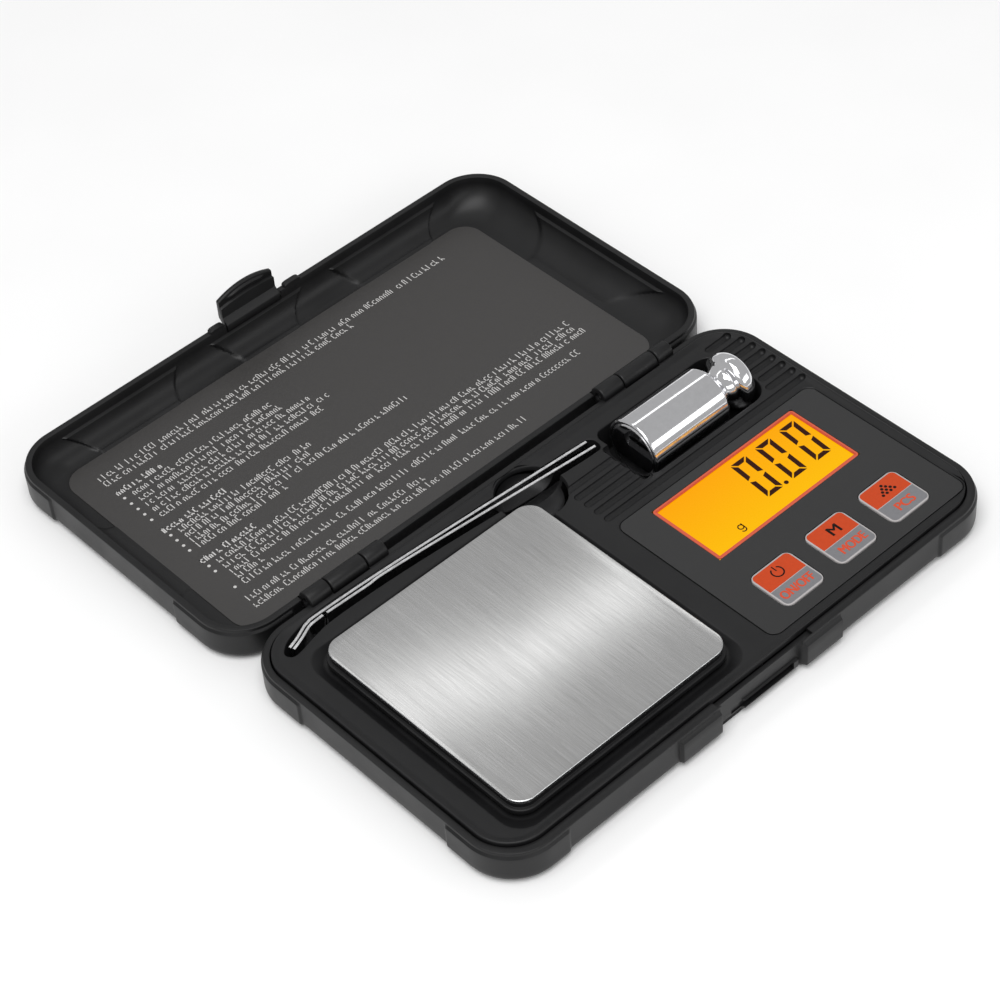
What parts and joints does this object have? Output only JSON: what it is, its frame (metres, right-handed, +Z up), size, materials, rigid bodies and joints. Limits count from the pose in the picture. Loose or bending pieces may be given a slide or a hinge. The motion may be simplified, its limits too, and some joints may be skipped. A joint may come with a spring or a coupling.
{
  "type": "digital gram scale",
  "caption": "Pocket gram scale with a flip lid, steel weighing plate, lit display, press keys, lift-out calibration weight and tweezers.",
  "frame": {"origin": "on the table under the hinge axis, midway along the case's length, which is the bottom centre of the open scale's box", "axes": "+X along the hinge axis towards the display end, +Y from the base across the hinge to the open lid, +Z up"},
  "size_m": [0.156, 0.1804, 0.0176],
  "materials": {
    "black_satin_plastic": "satin moulded plastic",
    "lid_black_plastic": "satin moulded plastic",
    "deck_black_plastic": "satin moulded plastic",
    "overlay_film": "semi-gloss film",
    "bezel_red_orange": "printed border",
    "display_panel": "lit orange panel with dark digits",
    "backlight_panel": "white light guide",
    "board_green": "solder mask",
    "key_faces": "two-tone printed face",
    "dome_metal": "bright sheet",
    "carrier_black_plastic": "moulded plastic",
    "plate_brushed_steel": "brushed along X",
    "weight_chrome": "mirror plated",
    "leaf_steel": "polished",
    "pin_steel": "bright wire",
    "screw_steel": "zinc plated",
    "load_cell_aluminium": "machined",
    "spacer_aluminium": "machined",
    "cell_steel": "bright can",
    "contact_metal": "plated spring sheet",
    "cover_black_plastic": "moulded plastic",
    "latch_black_plastic": "satin moulded plastic",
    "label_dark_grey": "satin printed film"
  },
  "bodies": {
    "base": {"base_shell": "black_satin_plastic", "top_deck": "deck_black_plastic", "control_overlay": "overlay_film", "lcd_bezel": "bezel_red_orange", "lcd_glass": "display_panel", "backlight": "backlight_panel", "circuit_board": "board_green", "dome_switch_power": "dome_metal", "dome_switch_mode": "dome_metal", "dome_switch_count": "dome_metal", "load_cell": "load_cell_aluminium", "load_cell_spacer": "spacer_aluminium", "load_cell_screw_1": "screw_steel", "load_cell_screw_2": "screw_steel", "coin_cell_1": "cell_steel", "coin_cell_2": "cell_steel", "battery_contact_1": "contact_metal", "battery_contact_2": "contact_metal", "case_screw_1": "screw_steel", "case_screw_2": "screw_steel", "case_screw_3": "screw_steel", "case_screw_4": "screw_steel", "hinge_pin_left": "pin_steel", "hinge_pin_right": "pin_steel"},
    "platform": {"platform_carrier": "carrier_black_plastic", "weighing_plate": "plate_brushed_steel"},
    "power_key": {"key_power": "key_faces"},
    "mode_key": {"key_mode": "key_faces"},
    "count_key": {"key_count": "key_faces"},
    "lid": {"lid_shell": "lid_black_plastic", "lid_label": "label_dark_grey"},
    "latch": {"lid_latch": "latch_black_plastic"},
    "weight": {"calibration_weight": "weight_chrome"},
    "tweezers": {"tweezer_leaf_back": "leaf_steel"},
    "tweezers_front": {"tweezer_leaf_front": "leaf_steel"},
    "cover": {"battery_cover": "cover_black_plastic"}
  },
  "joints": [
    {"name": "lid_hinge", "type": "hinge", "parent": "base", "child": "lid", "pos_m": [0, 0, 0.0094], "axis": [-1, 0, 0], "range_deg": [-180, 0]},
    {"name": "latch_flex", "type": "hinge", "parent": "lid", "child": "latch", "pos_m": [0, 0.088, 0.008], "axis": [-1, 0, 0], "range_deg": [0, 8], "stiffness_Nm_per_rad": 0.5},
    {"name": "platform_sink", "type": "slide", "parent": "base", "child": "platform", "axis": [0, 0, -1], "range_m": [0, 0.0003], "stiffness_N_per_m": 9000, "springref_m": -0.0001},
    {"name": "power_press", "type": "slide", "parent": "base", "child": "power_key", "axis": [0, 0, -1], "range_m": [0, 0.0004], "stiffness_N_per_m": 800, "springref_m": -0.0003},
    {"name": "mode_press", "type": "slide", "parent": "base", "child": "mode_key", "axis": [0, 0, -1], "range_m": [0, 0.0004], "stiffness_N_per_m": 800, "springref_m": -0.0003},
    {"name": "count_press", "type": "slide", "parent": "base", "child": "count_key", "axis": [0, 0, -1], "range_m": [0, 0.0004], "stiffness_N_per_m": 800, "springref_m": -0.0003},
    {"name": "weight_lift", "type": "slide", "parent": "base", "child": "weight", "axis": [0, 0, 1], "range_m": [0, 0.04]},
    {"name": "tweezers_lift", "type": "slide", "parent": "base", "child": "tweezers", "axis": [0, 0, 1], "range_m": [0, 0.03]},
    {"name": "tweezers_squeeze", "type": "hinge", "parent": "tweezers", "child": "tweezers_front", "pos_m": [-0.0339, -0.00725, 0], "axis": [0, 0, 1], "range_deg": [0, 1.3], "stiffness_Nm_per_rad": 0.2, "springref_deg": -1.15},
    {"name": "cover_release", "type": "slide", "parent": "base", "child": "cover", "axis": [0, 0, -1], "range_m": [0, 0.02]}
  ]
}
